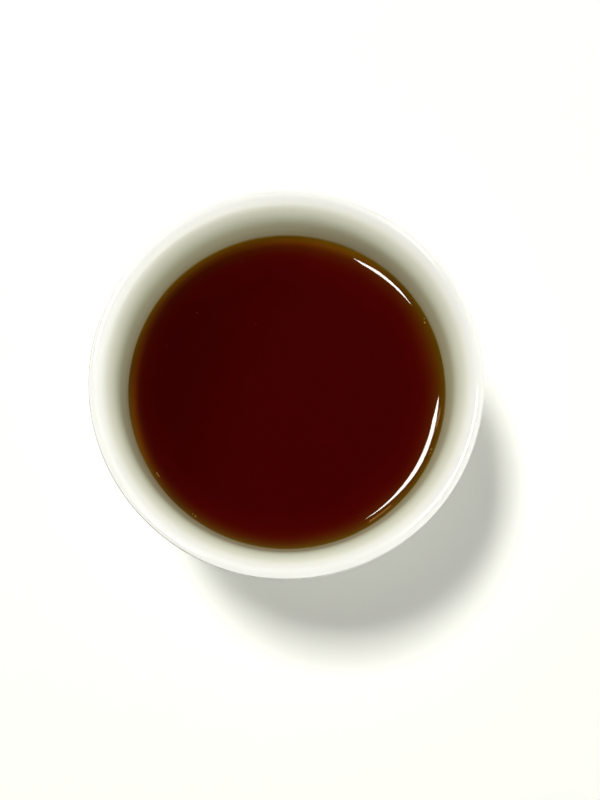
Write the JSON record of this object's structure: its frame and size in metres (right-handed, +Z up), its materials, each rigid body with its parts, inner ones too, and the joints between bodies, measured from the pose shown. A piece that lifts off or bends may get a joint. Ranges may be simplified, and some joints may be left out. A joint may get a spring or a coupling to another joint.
{
  "type": "cup of tea",
  "caption": "Handleless white porcelain cup filled with black tea, with a flared lip and a foot ring, ready to stand on a table or tray.",
  "frame": {"origin": "centre of the circle that the foot ring stands on", "axes": "+Z up along the axis that the cup is turned about, -Y towards the drinker, +X to the drinker's right"},
  "size_m": [0.078, 0.078, 0.052],
  "materials": {
    "porcelain": "clear gloss glaze over ivory white porcelain, bare and matt on the foot ring's standing face",
    "tea": "still black tea, dark red-brown where deep and amber where thin against the wall"
  },
  "bodies": {
    "root": {"cup": "porcelain", "tea": "tea"}
  },
  "joints": []
}
